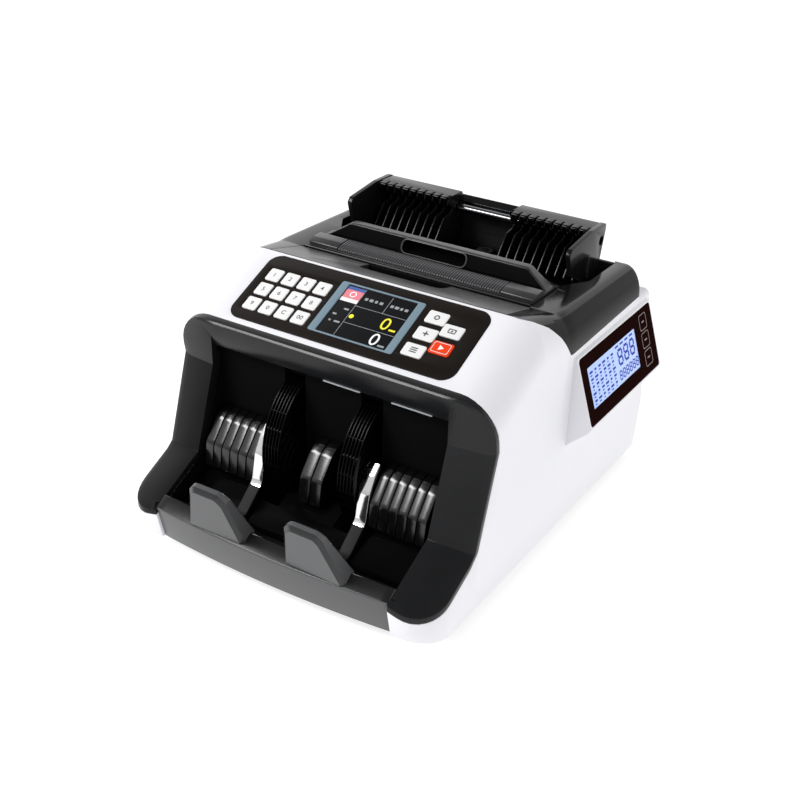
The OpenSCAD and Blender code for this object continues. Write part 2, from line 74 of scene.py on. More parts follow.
def material(name, color, rough=0.4, vary=0.12, grain=900.0, bump=0.04, specular=0.5, coat=0.0,
             metal=0.0, spread=35.0, edge_highlight=0.0, emit=0.0, stretch=None):
    """Moulded or plated surface: slow colour drift, roughness mottling and a fine grain."""
    m = bpy.data.materials.new(name)
    m.use_nodes = True
    tree = m.node_tree
    shader = tree.nodes["Principled BSDF"]
    preset(shader, {"Metallic": metal, "Coat Weight": coat, "Coat Roughness": 0.1,
                    "Specular IOR Level": specular, "Emission Strength": emit})
    source = node(tree, "TexCoord").outputs["Object"]
    if stretch:
        squeeze = node(tree, "Mapping", {"Scale": stretch}, source, "Vector")
        source = squeeze.outputs["Vector"]
    drift = node(tree, "TexNoise", {"Scale": spread, "Detail": 4.0}, source, "Vector")
    dark = [c * (1 - vary) for c in color]
    light = [min(1.0, c * (1 + vary * 0.5) + vary * 0.004) for c in color]
    # 0 is the mix node's factor, 6 and 7 are its two colours, and output 2 is the mixed colour
    mix = node(tree, "Mix", {6: (*dark, 1), 7: (*light, 1)}, drift.outputs["Fac"], 0)
    # sharp convex edges are mixed towards a lighter tone: a painted edge highlight
    if edge_highlight:
        edges = node(tree, "NewGeometry").outputs["Pointiness"]
        span = {"From Min": 0.52, "From Max": 0.62, "To Max": edge_highlight}
        ridge = node(tree, "MapRange", span, edges, "Value")
        highlight_tone = (*[min(1.0, c * 1.6 + 0.05) for c in color], 1)
        highlight_mix = node(tree, "Mix", {7: highlight_tone}, ridge.outputs["Result"], 0)
        tree.links.new(mix.outputs[2], highlight_mix.inputs[6])
        mix = highlight_mix
    tree.links.new(mix.outputs[2], shader.inputs["Base Color"])
    if emit:
        tree.links.new(mix.outputs[2], shader.inputs["Emission Color"])
    fine = node(tree, "TexNoise", {"Scale": grain, "Detail": 3.0}, source, "Vector")
    span = {"To Min": max(0.02, rough * 0.82), "To Max": min(1.0, rough * 1.18)}
    gloss = node(tree, "MapRange", span, drift.outputs["Fac"], "Value")
    tree.links.new(gloss.outputs["Result"], shader.inputs["Roughness"])
    if bump:
        relief = node(tree, "Bump", {"Strength": bump, "Distance": 0.0002},
                      fine.outputs["Fac"], "Height")
        tree.links.new(relief.outputs["Normal"], shader.inputs["Normal"])
    return m


WHITE = material("white_moulding", (0.84, 0.84, 0.875), 0.34, 0.02, 1400, 0.02, 0.35)
# the bezel and the lip below get lighter sharp edges: painted edge highlight
BEZEL = material("bezel_satin", (0.0085, 0.0088, 0.0098), 0.24, 0.25, 1300, 0.08, 0.27,
                 edge_highlight=0.1)
# darker, duller copy of the bezel satin for the frame's left side: painted shade
LIMB_SHADE = material("bezel_limb_painted_shade", (0.0062, 0.0064, 0.0070), 0.24, 0.25, 1300, 0.08, 0.10)
# darker, duller copy of the cover black for its sideways faces: painted shade
COVER_SIDE_SHADE = material("cover_side_painted_shade", (0.0050, 0.0052, 0.0056), 0.18, 0.25, 1100, 0.02, 0.06)
GLOSS, COMB, FAN, WALL = [
    material(name, color, rough, 0.3, 900, 0.012, specular)
    for name, color, rough, specular in (
        ("gloss_black", (0.0022, 0.0022, 0.0025), 0.09, 0.42),
        ("comb_gloss", (0.0022, 0.0022, 0.0025), 0.18, 0.62),
        ("fan_gloss", (0.0016, 0.0016, 0.0018), 0.24, 0.07),
        ("flap_gloss", (0.0015, 0.0015, 0.0017), 0.16, 0.06))]
COVER = material("cover_black", (0.0062, 0.0065, 0.0070), 0.15, 0.25, 1100, 0.02, 0.17)
STRIP = material("strip_satin", (0.022, 0.0225, 0.024), 0.32, 0.2, 1200, 0.06)
GRIP = material("grip_satin", (0.052, 0.050, 0.055), 0.40, 0.2, 1200, 0.06)
LIP = material("lip_satin", (0.078, 0.079, 0.082), 0.30, 0.10, 1300, 0.08, edge_highlight=0.3)
# darker copy of the lip satin for its upward faces: painted shade
LIP_TOP_SHADE = material("lip_top_painted_shade", (0.011, 0.0112, 0.012), 0.20, 0.2, 1300, 0.06, 0.25)
PADDLE = material("paddle_satin", (0.085, 0.087, 0.090), 0.34, 0.12, 1300, 0.08, 0.4)
# darker copy of the paddle satin for the rims and sides: painted shade
PADDLE_RIM_SHADE = material("paddle_rim_painted_shade", (0.020, 0.0205, 0.022), 0.26, 0.15, 1300, 0.05, 0.45)
BAND = material("polished_band", (0.86, 0.86, 0.88), 0.13, 0.1, 700, 0.02, metal=1.0)
MATTE = material("matte_black", (0.010, 0.010, 0.0105), 0.62, 0.25, 1300, 0.15, 0.25)
# near-black, dull copy of the matte black for pockets, recesses and walls behind parts: painted
# shade
PIT_SHADE = material("deep_black_painted_shade", (0.0020, 0.0020, 0.0022), 0.85, 0.3, 1300, 0.1, 0.05)
FILM = material("overlay_film", (0.0085, 0.0055, 0.0042), 0.36, 0.2, 2200, 0.04, 0.16)
FRAME_BLUE = material("screen_surround", (0.19, 0.27, 0.33), 0.38, 0.08, 1500, 0.04, 0.3)
SCREEN = material("screen_glass", (0.0085, 0.0088, 0.010), 0.20, 0.3, 1500, 0.0, 0.14)
KEY_WHITE = material("key_white", (0.84, 0.84, 0.84), 0.42, 0.03, 1800, 0.03, 0.3)
KEY_RED = material("key_red", (0.86, 0.055, 0.006), 0.40, 0.08, 1800, 0.03, 0.2)
INK_DARK, INK_WHITE, INK_GREY, INK_YELLOW, INK_PINK, INK_BLUE = [
    material("ink_" + name, color, 0.5, vary, 1800, 0.0, specular, emit=emit)
    for name, color, vary, specular, emit in (
        ("dark", (0.085, 0.085, 0.09), 0.2, 0.2, 0.0),
        ("white", (0.85, 0.86, 0.88), 0.04, 0.5, 0.12),
        ("grey", (0.34, 0.36, 0.38), 0.06, 0.2, 0.0),
        ("yellow", (0.86, 0.78, 0.03), 0.05, 0.5, 0.12),
        ("pink", (0.80, 0.22, 0.27), 0.06, 0.5, 0.05),
        ("blue", (0.06, 0.12, 0.36), 0.06, 0.5, 0.05))]
POD_FACE = material("display_face", (0.013, 0.0042, 0.0036), 0.34, 0.2, 1500, 0.01, 0.0)
LCD = material("lcd_backlit", (0.42, 0.56, 0.98), 0.32, 0.05, 700, 0.0, emit=0.22)
LCD_INK = material("lcd_segments", (0.035, 0.055, 0.46), 0.4, 0.1, 1500, 0.0, 0.05)
MARK = material("touch_outline", (0.30, 0.22, 0.21), 0.4, 0.1, 1500, 0.0)
STEEL = material("plated_steel", (0.62, 0.62, 0.64), 0.24, 0.08, 600, 0.06, metal=1.0,
                 stretch=(1, 12, 12))
ROD = material("dark_rod", (0.16, 0.16, 0.17), 0.12, 0.04, 700, 0.02, metal=1.0,
               stretch=(1, 10, 10))
RUBBER = material("soft_rubber", (0.012, 0.012, 0.0125), 0.78, 0.25, 1500, 0.25, 0.3)
MOTOR = material("motor_paint", (0.06, 0.063, 0.066), 0.45, 0.15, 700, 0.12)
NYLON = material("natural_nylon", (0.76, 0.73, 0.64), 0.48, 0.06, 900, 0.06)
BOARD = material("circuit_board", (0.012, 0.09, 0.038), 0.38, 0.3, 350, 0.05, coat=0.3,
                 spread=160)
SUPPLY = material("transformer_tape", (0.48, 0.34, 0.09), 0.45, 0.18, 500, 0.08)
BASE = material("base_black", (0.018, 0.0185, 0.0195), 0.55, 0.2, 1100, 0.2, 0.3)


# ------------ mesh helpers
def add(name, data):
    """A new object in the scene for mesh, curve, light or camera data."""
    obj = bpy.data.objects.new(name, data)
    bpy.context.scene.collection.objects.link(obj)
    return obj


def to_mesh(obj):
    """The object's mesh as it looks with its modifiers, or with its curve filled."""
    graph = bpy.context.evaluated_depsgraph_get()
    return bpy.data.meshes.new_from_object(obj.evaluated_get(graph))


def round_points(centre, r, step=None, count=None):
    """Points on a full circle, by step in degrees or by count."""
    count = count or 360 // step
    angles = [2 * pi * k / count for k in range(count)]
    return [(centre[0] + r * cos(a), centre[1] + r * sin(a)) for a in angles]


def mirrored(side, a, b):
    """The span from a to b on the right, or its mirror on the left."""
    return (a, b) if side > 0 else (-b, -a)


def mesh_object(name, verts, faces):
    """A new object from points in millimetres."""
    me = bpy.data.meshes.new(name)
    me.from_pydata([[c * MM for c in v] for v in verts], [], faces)
    me.validate()
    bm = bmesh.new()
    bm.from_mesh(me)
    bmesh.ops.remove_doubles(bm, verts=bm.verts, dist=0.00002)
    bmesh.ops.recalc_face_normals(bm, faces=bm.faces)
    bm.to_mesh(me)
    bm.free()
    return add(name, me)


def bake(obj):
    """Applies the object's modifiers to its mesh."""
    me, old = to_mesh(obj), obj.data
    obj.modifiers.clear()
    obj.data = me
    bpy.data.meshes.remove(old)


def combine(obj, other, operation):
    """Boolean of two objects; the second one is used up."""
    m = obj.modifiers.new("cut", "BOOLEAN")
    m.operation = operation
    m.solver = "EXACT"
    m.object = other
    bake(obj)
    bpy.data.objects.remove(other)
    return obj


def cut(obj, *others):
    """Takes the other objects away from the first; they are used up."""
    for other in others:
        combine(obj, other, "DIFFERENCE")
    return obj


def smooth(obj, angle=32.0):
    me = obj.data
    me.polygons.foreach_set("use_smooth", [True] * len(me.polygons))
    me.set_sharp_from_angle(angle=radians(angle))


def tie(obj, mat, body):
    """Sets the material and makes the piece ride on its body."""
    obj.data.materials.clear()
    obj.data.materials.append(mat)
    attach(obj, body)
    return obj


def second_material(obj, mat, test, index=1):
    """Gives the polygons that pass the test another material."""
    while len(obj.data.materials) <= index:
        obj.data.materials.append(mat)
    for poly in obj.data.polygons:
        if test(poly):
            poly.material_index = index


def finish(obj, mat, cad=(), bevel=0.5, segments=3, angle=32, body="frame"):
    """Rounds the edges, sets the material and ties the piece to its body."""
    if bevel:
        m = obj.modifiers.new("edge", "BEVEL")
        m.width = bevel * MM
        m.segments = segments
        m.limit_method = "ANGLE"
        m.angle_limit = radians(angle)
        bake(obj)
    smooth(obj)
    tie(obj, mat, body)
    if cad:
        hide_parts(*cad)
    return obj


def join(name, objects):
    """One object from several; the first one's name is replaced."""
    bm = bmesh.new()
    for o in objects:
        bm.from_mesh(o.data)
        bpy.data.objects.remove(o)
    me = bpy.data.meshes.new(name)
    bm.to_mesh(me)
    bm.free()
    return add(name, me)


def loft(name, rings, closed=False):
    """Skin through rings of equal point count; the ends are capped unless it closes on itself."""
    n = len(rings[0])
    verts = [p for ring in rings for p in ring]
    faces = []
    count = len(rings)
    for i in range(count if closed else count - 1):
        a, b = i * n, ((i + 1) % count) * n
        for k in range(n):
            j = (k + 1) % n
            faces.append((a + k, a + j, b + j, b + k))
    if not closed:
        faces.append(tuple(range(n)))
        faces.append(tuple(range((count - 1) * n, count * n)))
    return mesh_object(name, verts, faces)


def fillet(points, radius, steps=5):
    """A closed 2-D outline with its corners rounded; radius is one value or one per corner."""
    out = []
    n = len(points)
    for i, p in enumerate(points):
        r = radius[i] if isinstance(radius, (list, tuple)) else radius
        p = Vector(p)
        a = Vector(points[i - 1]) - p
        b = Vector(points[(i + 1) % n]) - p
        if r <= 0 or a.length < 1e-6 or b.length < 1e-6:
            out.append(tuple(p))
            continue
        half = a.angle(b) / 2
        reach = min(r / tan(half), a.length * 0.49, b.length * 0.49)
        start, end = p + a.normalized() * reach, p + b.normalized() * reach
        for k in range(steps + 1):
            t = k / steps
            q = start * (1 - t) ** 2 + p * 2 * t * (1 - t) + end * t ** 2
            out.append(tuple(q))
    return out


def prism(name, outline, lo, hi, axis="x"):
    """A closed outline extruded along an axis; it is (y, z) for x, (x, z) for y, (x, y) for z."""
    def at(u, v, w):
        return {"x": (w, u, v), "y": (u, w, v), "z": (u, v, w)}[axis]
    return loft(name, [[at(u, v, w) for u, v in outline] for w in (lo, hi)])


def pair(name, outline, lo, hi):
    """The same prism on the left and on the right."""
    return [prism(name, outline, *mirrored(side, lo, hi)) for side in (-1, 1)]


def slab(name, points, radius, half):
    """A filleted side outline, extruded to the same distance on both sides of the middle."""
    return prism(name, fillet(points, radius), -half, half)


def at_x(x, outline):
    """A ring of points at x from a (y, z) outline."""
    return [(x, y, z) for y, z in outline]


def block(name, lo, hi):
    return prism(name, [(lo[0], lo[1]), (hi[0], lo[1]), (hi[0], hi[1]), (lo[0], hi[1])],
                 lo[2], hi[2], "z")


def rounded(w, h, r, cx=0.0, cy=0.0, steps=6):
    """Outline of a rounded rectangle with true round corners."""
    out = []
    for sx, sy, start in ((1, 1, 0), (-1, 1, 90), (-1, -1, 180), (1, -1, 270)):
        for k in range(steps + 1):
            a = radians(start + 90 * k / steps)
            out.append((cx + sx * (w / 2 - r) + r * cos(a),
                        cy + sy * (h / 2 - r) + r * sin(a)))
    return out


def put(me, place):
    """Moves mesh data by a matrix and keeps its outside out when the matrix mirrors."""
    me.transform(place)
    if place.determinant() < 0:
        me.flip_normals()


def plate(name, outlines, low, high, edge, place):
    """A flat plate with holes: the first outline is the rim, the rest are holes, edges rounded."""
    curve = bpy.data.curves.new(name, "CURVE")
    curve.dimensions = "2D"
    curve.fill_mode = "BOTH"
    curve.extrude = ((high - low) / 2 - edge) * MM
    curve.bevel_depth = edge * MM
    curve.bevel_resolution = 2
    curve.offset = -edge * MM
    for outline in outlines:
        s = curve.splines.new("POLY")
        s.points.add(len(outline) - 1)
        for p, (x, y) in zip(s.points, outline):
            p.co = (x * MM, y * MM, 0, 1)
        s.use_cyclic_u = True
    temp = add(name + "_curve", curve)
    me = to_mesh(temp)
    bpy.data.objects.remove(temp)
    me.transform(Matrix.Translation((0, 0, (low + high) / 2 * MM)))
    put(me, place)
    bm = bmesh.new()
    bm.from_mesh(me)
    bmesh.ops.remove_doubles(bm, verts=bm.verts, dist=0.000005)
    bm.to_mesh(me)
    bm.free()
    return add(name, me)


def glyph(name, text, height, x, y, place, high=0.06, bold=0.12):
    """A generic digit as a thin raised print, centred on (x, y) in the plane of place."""
    curve = bpy.data.curves.new(name, "FONT")
    curve.body = text
    curve.size = height * 1.38 * MM
    curve.align_x = "CENTER"
    curve.align_y = "CENTER"
    curve.extrude = high * MM
    curve.offset = bold * MM
    temp = add(name + "_font", curve)
    me = to_mesh(temp)
    bpy.data.objects.remove(temp)
    xs = [v.co.x for v in me.vertices]
    ys = [v.co.y for v in me.vertices]
    middle = Vector(((min(xs) + max(xs)) / 2, (min(ys) + max(ys)) / 2, 0))
    me.transform(Matrix.Translation(Vector((x * MM, y * MM, 0)) - middle))
    me.transform(place)
    return add(name, me)


def on_panel(height=0.0):
    """From the panel's own x, distance up the slope and height to the frame."""
    return (Matrix.Translation(Vector((0, PANEL_Y, PANEL_Z)) * MM)
            @ Matrix.Rotation(TILT, 4, "X") @ Matrix.Translation((0, 0, height * MM)))


# ------------ outer envelope
def blend_to(y, y0, y1, a, b):
    t = min(1.0, max(0.0, (y - y0) / (y1 - y0)))
    t = t * t * (3 - 2 * t)
    return a + (b - a) * t


def top_z(y):
    """Height of the body's middle line."""
    if y <= STRIP_Y:
        return PANEL_Z + (y - PANEL_Y) * tan(TILT)
    if y <= 9.4:
        return 180.86 - (y - STRIP_Y) * 8.3 / 36.4
    if y <= COVER_END:
        return 172.5 - (y - 9.4) * 2.6 / 117.6
    return DECK_Z


def edge_y(z):
    """Where the white shell meets the black frame at the front."""
    line = [(-10, -118), (41.2, -118), (44.2, -112), (52.7, -102.8), (116.4, -83.2), (124.3, -84.6),
            (138, -87.6), (149, -89.5), (220, -89.5)]
    for (z0, y0), (z1, y1) in zip(line, line[1:]):
        if z <= z1:
            return y0 + (y1 - y0) * (z - z0) / (z1 - z0)
    return FRONT_Y


def envelope_ring(y, inset, steps=14):
    rear = y > COVER_END
    rh = 5.0 if rear else blend_to(y, -32, 22, 26.0, 13.5)
    rv = 5.0 if rear else blend_to(y, -32, 22, 28.6, 21.5)
    rh, rv = max(1.0, rh - inset), max(1.0, rv - inset)
    top, side = top_z(y) - inset, HALF - inset
    low = BASE_Z if not inset else -5.0
    half = [(side, low), (side, 60.0)]
    for k in range(steps + 1):
        a = pi / 2 * k / steps
        half.append((side - rh + rh * cos(a), top - rv + rv * sin(a)))
    half.append((40.0, top))
    return half + [(-x, z) for x, z in reversed(half)]


def envelope(name, y0, y1, inset=0.0):
    stops = {y0, y1, STRIP_Y, 9.4, COVER_END - inset, COVER_END + 0.06 - inset,
             *range(-120, 165, 4)}
    rings = []
    for y in sorted(y for y in stops if y0 <= y <= y1):
        ring = envelope_ring(y + inset if y > COVER_END - inset else y, inset)
        rings.append([(x, y, z) for x, z in ring])
    return loft(name, rings)


REAR = [(144.5, 176), (148.6, 144.6), (161, 46), (156, BASE_Z)]


def side_profile(grow=0.0):
    front = [(edge_y(z), z) for z in (41.2, 44.2, 52.7, 116.4, 124.3, 138, 149, 170)]
    return ([(-118 + grow, BASE_Z - 20 * bool(grow))] + [(y + grow, z) for y, z in front]
            + [(FRONT_Y + grow, 230)]
            + [(REAR[0][0] - 1.15 * 7, 230)] + [(y - grow, z) for y, z in REAR]
            + ([(156 - grow, BASE_Z - 20)] if grow else []))


def cover_line():
    """Edge between the white housing and the black cover, seen from the side."""
    rear = COVER_END + 0.3
    return [(-28.2, 183), (-27.2, 180.4), (-20, 177.4), (-10, 171.2), (-1.2, 162.0), (6.4, 152.2),
            (12.5, 144.8), (16, 144.2), (rear, 147.2), (rear, 240), (-28.2, 240)]


SLAB_LEAN_X, SLAB_LEAN_Y = -0.27, 0.5044


def slab_z(x, y):
    """Top plane of the frame's lower limb, right-hand side."""
    return 57.2 + SLAB_LEAN_Y * (y + 114) + SLAB_LEAN_X * (abs(x) - POCKET)


CORNER_R, CORNER_X, CORNER_Y = 24.0, 101.0, -135.4


def corner_solid(side):
    """White base corner under the frame's lower limb."""
    plan = [(HALF, -116.2), (HALF, -126)]
    for k in range(13):
        a = radians(-90 * k / 12)
        plan.append((CORNER_X + CORNER_R * cos(a), CORNER_Y + CORNER_R * sin(a)))
    plan += [(POCKET, CORNER_Y - CORNER_R), (POCKET, -116.2)]
    lower, upper = [], []
    for x, y in plan:
        lean = 4.8 * max(0.0, (CORNER_Y - y) / CORNER_R)
        lower.append((side * x, y + lean, BASE_Z))
        upper.append((side * x, y, slab_z(x, y) - 5.7))
    return loft("corner", [lower, upper])


def white_housing():
    shell = envelope("housing", -119.5, 163.0)
    shell = combine(shell, prism("profile", side_profile(), -130, 130), "INTERSECT")
    shell = combine(shell, join("corners", [corner_solid(1), corner_solid(-1)]), "UNION")
    core = envelope("core", -116.0, 159.0, 2.8)
    core = combine(core, prism("profile", side_profile(2.8), -130, 130), "INTERSECT")
    # cover, pocket mouth, cheeks beside it and the strip's place
    cut(shell, core, prism("cover", cover_line(), -130, 130),
        block("mouth", (-POCKET, -142, -10), (POCKET, -79, 149.6)),
        block("cheeks", (-99.6, -104, 54), (99.6, -78, 149.6)),
        block("strip", (-94.7, STRIP_Y, 140), (94.7, 20, 220)))
    # recess of the control panel and the opening under it
    recess = prism("recess", rounded(177.2, 62.4, 10.2, 0, PANEL_MID, 8), -1.4, 12, "z")
    window = prism("window", rounded(168, 56, 8, 0, 59.4), -14, 12, "z")
    for tool in (recess, window):
        tool.data.transform(on_panel())
        cut(shell, tool)
    # rear connector opening and vents
    cut(shell, block("rear", (-66, 144, 17), (66, 170, 55)))
    for row in range(5):
        for side in (-1, 1):
            outline = rounded(62, 3.5, 1.7, side * 55, 80 + row * 9)
            cut(shell, prism("vent", outline, 138, 170, "y"))
    for col in range(7):
        outline = rounded(3.5, 26, 1.7, -28 + col * 9, 53)
        cut(shell, prism("vent", outline, -HALF - 3, -HALF + 6, "x"))
    finish(shell, WHITE, ["main_housing"], 0.45, 2, 35)


def black_cover():
    cover = envelope("cover", -34.0, COVER_END - 0.05)
    zone = prism("zone", [(y + 0.12, z + 0.12) for y, z in cover_line()], -130, 130)
    cover = combine(cover, zone, "INTERSECT")
    cut(cover, envelope("core", -36.0, COVER_END - 2.6, 2.6))
    # strip, flap and hopper openings
    cut(cover, block("strip", (-94.7, -40, 140), (94.7, 9.5, 220)),
        block("flap", (-93.3, 9.3, 140), (93.3, 51, 220)))
    opening = fillet([(-93, 50.6), (93, 50.6), (94, 60), (105, 78), (105, 124), (102, 129),
                      (-102, 129), (-105, 124), (-105, 78), (-94, 60)],
                     [0.5, 0.5, 3, 8, 4, 0.5, 0.5, 4, 8, 3])
    cut(cover, prism("hopper", opening, 140, 230, "z"))
    finish(cover, COVER, ["top_cover"], 0.5, 3, 12)
    # sideways faces get the darker copy of the cover black: painted shade
    second_material(cover, COVER_SIDE_SHADE, lambda poly: abs(poly.normal.x) > 0.6)


# ------------ front frame
def front_frame():
    half = []
    for x in (0, 24, 48, 72, 90):
        half.append([(x, FRONT_Y - 0.1, 152.15), (x, -94.9, 150.9), (x, -96.3, 149.3),
                     (x, -94.8, 139.8), (x, -92, 132), (x, -86.4, 132)])
    for step in range(9):
        f = step / 8
        a = radians(90 - 90 * f)
        c, s = cos(a), sin(a)
        zb = 124.3 + 27.85 * s
        half.append([(99 + 25.95 * c, edge_y(zb) - 0.12, zb),
                     (98.6 + 26.35 * c, -94.9 + 6.2 * f, 123.9 + 27.0 * s),
                     (97 + 23.0 * c, -96.5 + 7.4 * f, 124 + 25.3 * s),
                     (POCKET, -94.8 + 0.2 * f, 139.8 - 17 * f),
                     (POCKET, -92 + 6 * f, 132 - 9.2 * f),
                     (94 + 5 * f, -86.4 + 3 * f, 132 - 9.2 * f)])
    half.append([(124.95, -83.4, 116.4), (124.95, -87.2, 116.4), (119.9, -88.9, 115.2),
                 (POCKET, -94.4, 117.1), (POCKET, -86, 117.1), (99, -82, 117)])
    half.append([(124.95, -102.9, 52.9), (124.95, -106.8, 52.9), (119.9, -109.0, 54.0),
                 (POCKET, -114, 57.2), (POCKET, -104, 55.8), (99, -101.5, 54)])
    outer = [(HALF, -112.0), (HALF, -120), (HALF, -128)]
    normals = [(1, 0)] * 3
    for k in range(9):
        a = radians(-90 * k / 8)
        outer.append((CORNER_X + CORNER_R * cos(a), CORNER_Y + CORNER_R * sin(a)))
        normals.append((cos(a), sin(a)))
    outer.append((POCKET + 0.6, CORNER_Y - CORNER_R - 0.1))
    normals.append((0, -1))
    count = len(outer)
    for k, ((x, y), (nx, ny)) in enumerate(zip(outer, normals)):
        yi = -118.5 + (CORNER_Y - CORNER_R + 118.5) * k / (count - 1)
        fx, fy = x - 4.6 * nx, y - 4.6 * ny
        fx = max(fx, POCKET + 0.4)
        z = slab_z(x, y)
        mx, my, zi = (POCKET + x) / 2, (yi + y) / 2, slab_z(POCKET, yi)
        half.append([(x - 0.05 * nx, y, z - 5.5), (x, y, z - 1.3), (fx, fy, slab_z(fx, fy)),
                     (POCKET, yi, zi), (POCKET, yi, zi - 5.5), (mx, my, slab_z(mx, my) - 5.5)])
    left = [[(-x, y, z) for x, y, z in ring] for ring in reversed(half[1:])]
    frame_piece = loft("front_frame", left + half)
    finish(frame_piece, BEZEL, ["front_bezel"], 0.55, 3, 17)
    # the frame's left side below the header gets the darker copy of the satin: painted shade
    second_material(frame_piece, LIMB_SHADE,
                    lambda poly: poly.center.x < -0.094 and poly.center.z < 0.1165)
    # light grey bars along the header's lower edge: painted glints
    glints = [block("glint", (a, -92.9, 131.5), (b, -91.6, 132.4)) for a, b in ((-2, 27), (51, 81))]
    finish(join("header_painted_glints", glints), INK_GREY, (), 0.3)


def lip():
    rings = []
    for k in range(33):
        x = -93.8 + 187.6 * k / 32
        bow = -5.0 * (1 - (x / POCKET) ** 2)
        section = fillet([(-152.5 + bow, 8.0), (-159.0 + bow, 34.3), (-150.1 + bow * 0.7, 40.4),
                          (-147.2, 38.4), (-147.2, 8.0)], [0.8, 1.6, 1.4, 0.6, 0.4], 4)
        rings.append(at_x(x, section))
    body = finish(loft("front_lip", rings), LIP, ["front_lip"], 0.5, 2, 40)
    # upward faces get the darker copy of the lip satin: painted shade
    second_material(body, LIP_TOP_SHADE, lambda poly: poly.normal.z > 0.62)


def paddle(side):
    """A note stop: a wedge that leans forward, with a bevelled rim round its face."""
    lean = radians(17)
    outline = fillet([(16.2, 0.5), (63.4, 0.5), (52.8, 38.0), (48.6, 42.4), (28.4, 42.4),
                      (23.0, 37.0)], [1.2, 1.2, 4, 4.5, 4.5, 4], 6)

    def at(x, depth, height):
        return (side * x, -153.6 - depth * cos(lean) - height * sin(lean),
                35.6 + height * cos(lean) - depth * sin(lean))

    mid = Vector((39.5, 20))

    def scaled(amount):
        out = []
        for p in outline:
            d = Vector(p) - mid
            out.append(mid + d * (1 - amount / max(d.length, 1)))
        return out

    rear = [at(x, 7.9 - (13.5 - 8.0 * h / 43), h) for x, h in outline]
    rear_in = [at(p.x, 7.9 - (14.6 - 8.0 * p.y / 43), p.y) for p in scaled(1.5)]
    side_f = [at(x, 5.4, h) for x, h in outline]
    rim = [at(p.x, 6.9, p.y) for p in scaled(1.6)]
    face = [at(p.x, 8.1, p.y) for p in scaled(3.4)]
    body = loft(f"stop_paddle_{'r' if side > 0 else 'l'}", [rear_in, rear, side_f, rim, face])
    cut(body, block("lipcut", (-100, -149.0, 0), (100, -140, 35)))
    finish(body, PADDLE, ["stop_paddles"] if side > 0 else (), 0)
    ahead = Vector((0, -cos(lean), -sin(lean)))
    # rim and side faces get the darker copy of the paddle satin: painted shade
    second_material(body, PADDLE_RIM_SHADE, lambda poly: 0.05 < poly.normal.dot(ahead) < 0.985)


def stacker():
    floor = slab("stacker_floor", [
        (-99, 48.0), (-107, 44), (-133, 30), (-146.9, 34.2), (-146.9, 31.6), (-133, 27.2),
        (-99, 44.6)], [0.3, 3, 6, 0.3, 0.3, 5, 0.3], 93.8)
    for s in (-1, 1):
        cut(floor, block("slot", (s * 31 - 8.5, -116, 20), (s * 31 + 8.5, -90, 60)))
    finish(floor, WALL, ["stacker_floor"], 0.4, 2)
    rib = fillet([(-112, 47.0), (-109.4, 64.6), (-97.4, 79.4), (-91.6, 83.8),
                  (-84.2, 84.6), (-84.2, 47.4), (-100, 47.6)],
                 [1.2, 9, 12, 20, 0.2, 0.2, 1], 9)
    ribs = []
    for s in (-1, 1):
        for i in range(6):
            x = 47.7 + i * 7.2
            ribs.append(prism("rib", rib, *mirrored(s, x, x + 6.3)))
    ribs += [prism("rib", rib, -8.6, -0.5), prism("rib", rib, 0.5, 8.6)]
    finish(join("comb_ribs", ribs), COMB, ["stacker_combs"], 0.6)
    inner = fillet([(-101, 47.8), (-97.5, 62), (-92, 79), (-84.3, 82), (-84.3, 47.8)],
                   [0.5, 6, 4, 0.3, 0.3])
    backs = pair("back", inner, 47.9, 90.0)
    backs.append(prism("back", inner, -8.4, 8.4))
    # backing behind the ribs in deep black: painted shade
    finish(join("comb_backing", backs), PIT_SHADE, (), 0.4, 2)
    # smooth guide bands beside the combs, running down to the stops
    band = fillet([(-97.0, 87.6), (-103.6, 80), (-109.4, 70), (-113.4, 50.4), (-133, 33.6),
                   (-146.5, 38.4), (-146.5, 36.4), (-133.2, 31.6), (-111.4, 46.4), (-106, 70),
                   (-95.6, 84.6)], [0.4, 12, 16, 9, 8, 0.3, 0.3, 8, 9, 12, 0.4], 7)
    bands = pair("band", band, 38.5, 46.8)
    bands = finish(join("guide_bands", bands), BAND, (), 0.9)
    # the bands' low part, down by the floor, gets the matte black: painted shade for the dimmer
    # reflection there
    second_material(bands, MATTE, lambda poly: poly.center.z < 0.0475)
    # dark cheeks behind the frame's posts, in deep black as painted shade
    cheek = [(-103, 36), (-103.5, 56), (-86, 117), (-87, 134), (-70, 134), (-70, 36)]
    fore = [(-146.6, 27), (-146.6, 35.4), (-103, 57.4), (-103, 27)]
    cheeks = pair("cheek", cheek, 94.4, 95.4)
    cheeks += pair("cheek", fore, 93.1, 93.95)
    finish(join("pocket_cheeks", cheeks), PIT_SHADE, (), 0.2, 2)
    screw_head = loft("floor_screw", [
        [(x, y, z) for x, y in round_points((-80, -124), r, 20)]
        for r, z in ((2.6, 35.3), (2.6, 36.5), (2.0, 37.1), (0.9, 37.1), (0.8, 36.7))])
    finish(screw_head, STEEL, (), 0)


FAN_MID, FAN_W, FAN_R = 30.75, 13.4, 53.8   # wheel's middle in x, width and radius
HUB_R, SHAFT_R = 17.0, 4.1
VANES, RIM_W, RIM_STEP = 26, 0.8, 2.52


